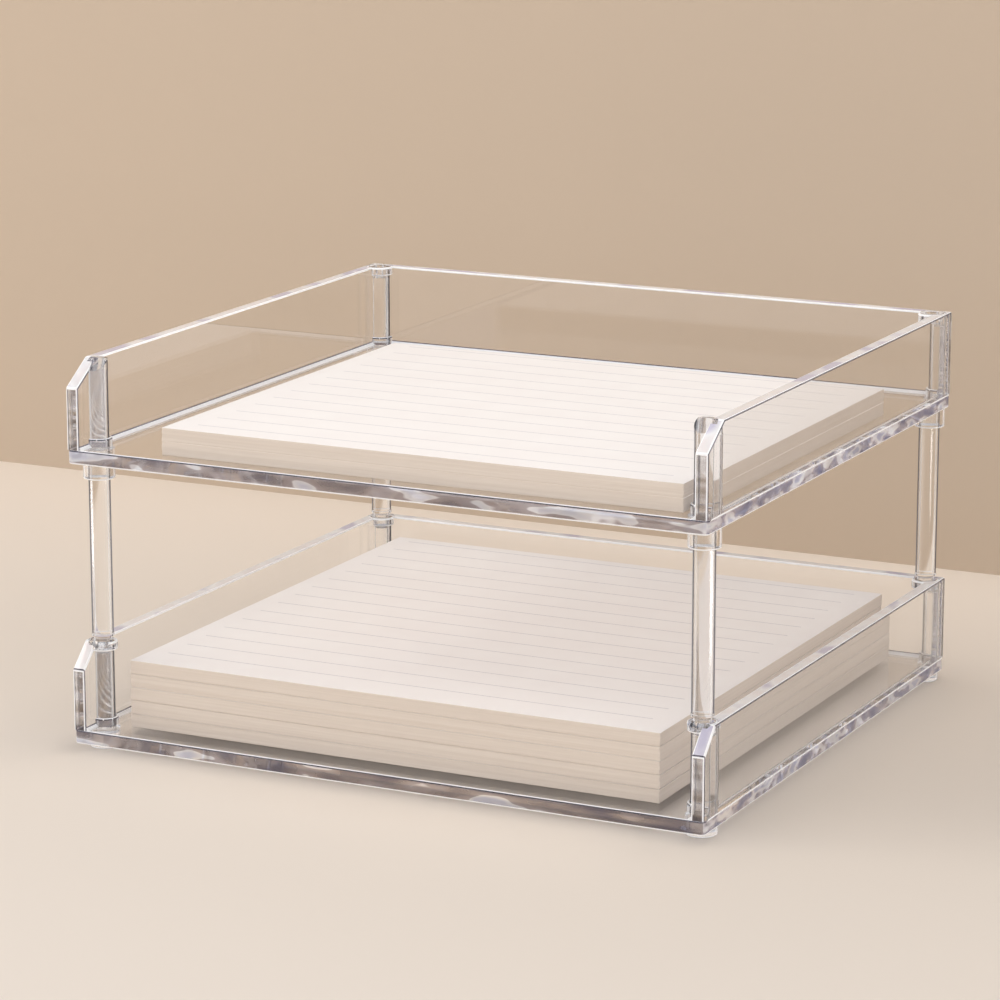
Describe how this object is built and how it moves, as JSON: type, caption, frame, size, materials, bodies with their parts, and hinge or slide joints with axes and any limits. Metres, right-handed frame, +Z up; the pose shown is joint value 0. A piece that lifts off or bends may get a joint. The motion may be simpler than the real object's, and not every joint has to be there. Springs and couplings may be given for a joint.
{
  "type": "letter tray stack",
  "caption": "Clear acrylic stacking letter trays with open fronts, joined by round corner posts that lift out of sockets, holding stacks of ruled paper pads that slide out.",
  "frame": {"origin": "on the surface that the feet stand on, midway between the sides and midway from front to back", "axes": "+X to the right across the front, +Y from the open front towards the back panels, +Z up"},
  "size_m": [0.33, 0.31, 0.191],
  "materials": {
    "clear_acrylic": "polished, water-clear cast acrylic",
    "paper": "matte, uncoated cream paper with fine grey ruled lines"
  },
  "bodies": {
    "lower_tray": {"lower_base_plate": "clear_acrylic", "lower_left_panel": "clear_acrylic", "lower_right_panel": "clear_acrylic", "lower_back_panel": "clear_acrylic", "lower_front_left_column": "clear_acrylic", "lower_front_left_ferrule": "clear_acrylic", "lower_front_left_base_ring": "clear_acrylic", "lower_front_right_column": "clear_acrylic", "lower_front_right_ferrule": "clear_acrylic", "lower_front_right_base_ring": "clear_acrylic", "lower_rear_left_column": "clear_acrylic", "lower_rear_left_ferrule": "clear_acrylic", "lower_rear_left_base_ring": "clear_acrylic", "lower_rear_right_column": "clear_acrylic", "lower_rear_right_ferrule": "clear_acrylic", "lower_rear_right_base_ring": "clear_acrylic", "front_left_foot": "clear_acrylic", "front_right_foot": "clear_acrylic", "rear_left_foot": "clear_acrylic", "rear_right_foot": "clear_acrylic"},
    "posts": {"front_left_post": "clear_acrylic", "front_right_post": "clear_acrylic", "rear_left_post": "clear_acrylic", "rear_right_post": "clear_acrylic", "front_left_washer": "clear_acrylic", "front_right_washer": "clear_acrylic", "rear_left_washer": "clear_acrylic", "rear_right_washer": "clear_acrylic"},
    "upper_tray": {"upper_base_plate": "clear_acrylic", "upper_left_panel": "clear_acrylic", "upper_right_panel": "clear_acrylic", "upper_back_panel": "clear_acrylic", "upper_front_left_column": "clear_acrylic", "upper_front_left_base_ring": "clear_acrylic", "upper_front_right_column": "clear_acrylic", "upper_front_right_base_ring": "clear_acrylic", "upper_rear_left_column": "clear_acrylic", "upper_rear_left_ferrule": "clear_acrylic", "upper_rear_left_base_ring": "clear_acrylic", "upper_rear_right_column": "clear_acrylic", "upper_rear_right_ferrule": "clear_acrylic", "upper_rear_right_base_ring": "clear_acrylic", "front_left_collar": "clear_acrylic", "front_right_collar": "clear_acrylic", "rear_left_collar": "clear_acrylic", "rear_right_collar": "clear_acrylic"},
    "lower_pads": {"lower_pad_1": "paper", "lower_pad_2": "paper", "lower_pad_3": "paper", "lower_pad_4": "paper", "lower_pad_5": "paper"},
    "upper_pads": {"upper_pad_1": "paper", "upper_pad_2": "paper"}
  },
  "joints": [
    {"name": "posts_lift", "type": "slide", "parent": "lower_tray", "child": "posts", "axis": [0, 0, 1], "range_m": [0, 0.04]},
    {"name": "upper_tray_lift", "type": "slide", "parent": "posts", "child": "upper_tray", "axis": [0, 0, 1], "range_m": [0, 0.04]},
    {"name": "lower_pads_slide", "type": "slide", "parent": "lower_tray", "child": "lower_pads", "axis": [0, -1, 0], "range_m": [0, 0.14]},
    {"name": "upper_pads_slide", "type": "slide", "parent": "upper_tray", "child": "upper_pads", "axis": [0, -1, 0], "range_m": [0, 0.12]}
  ]
}
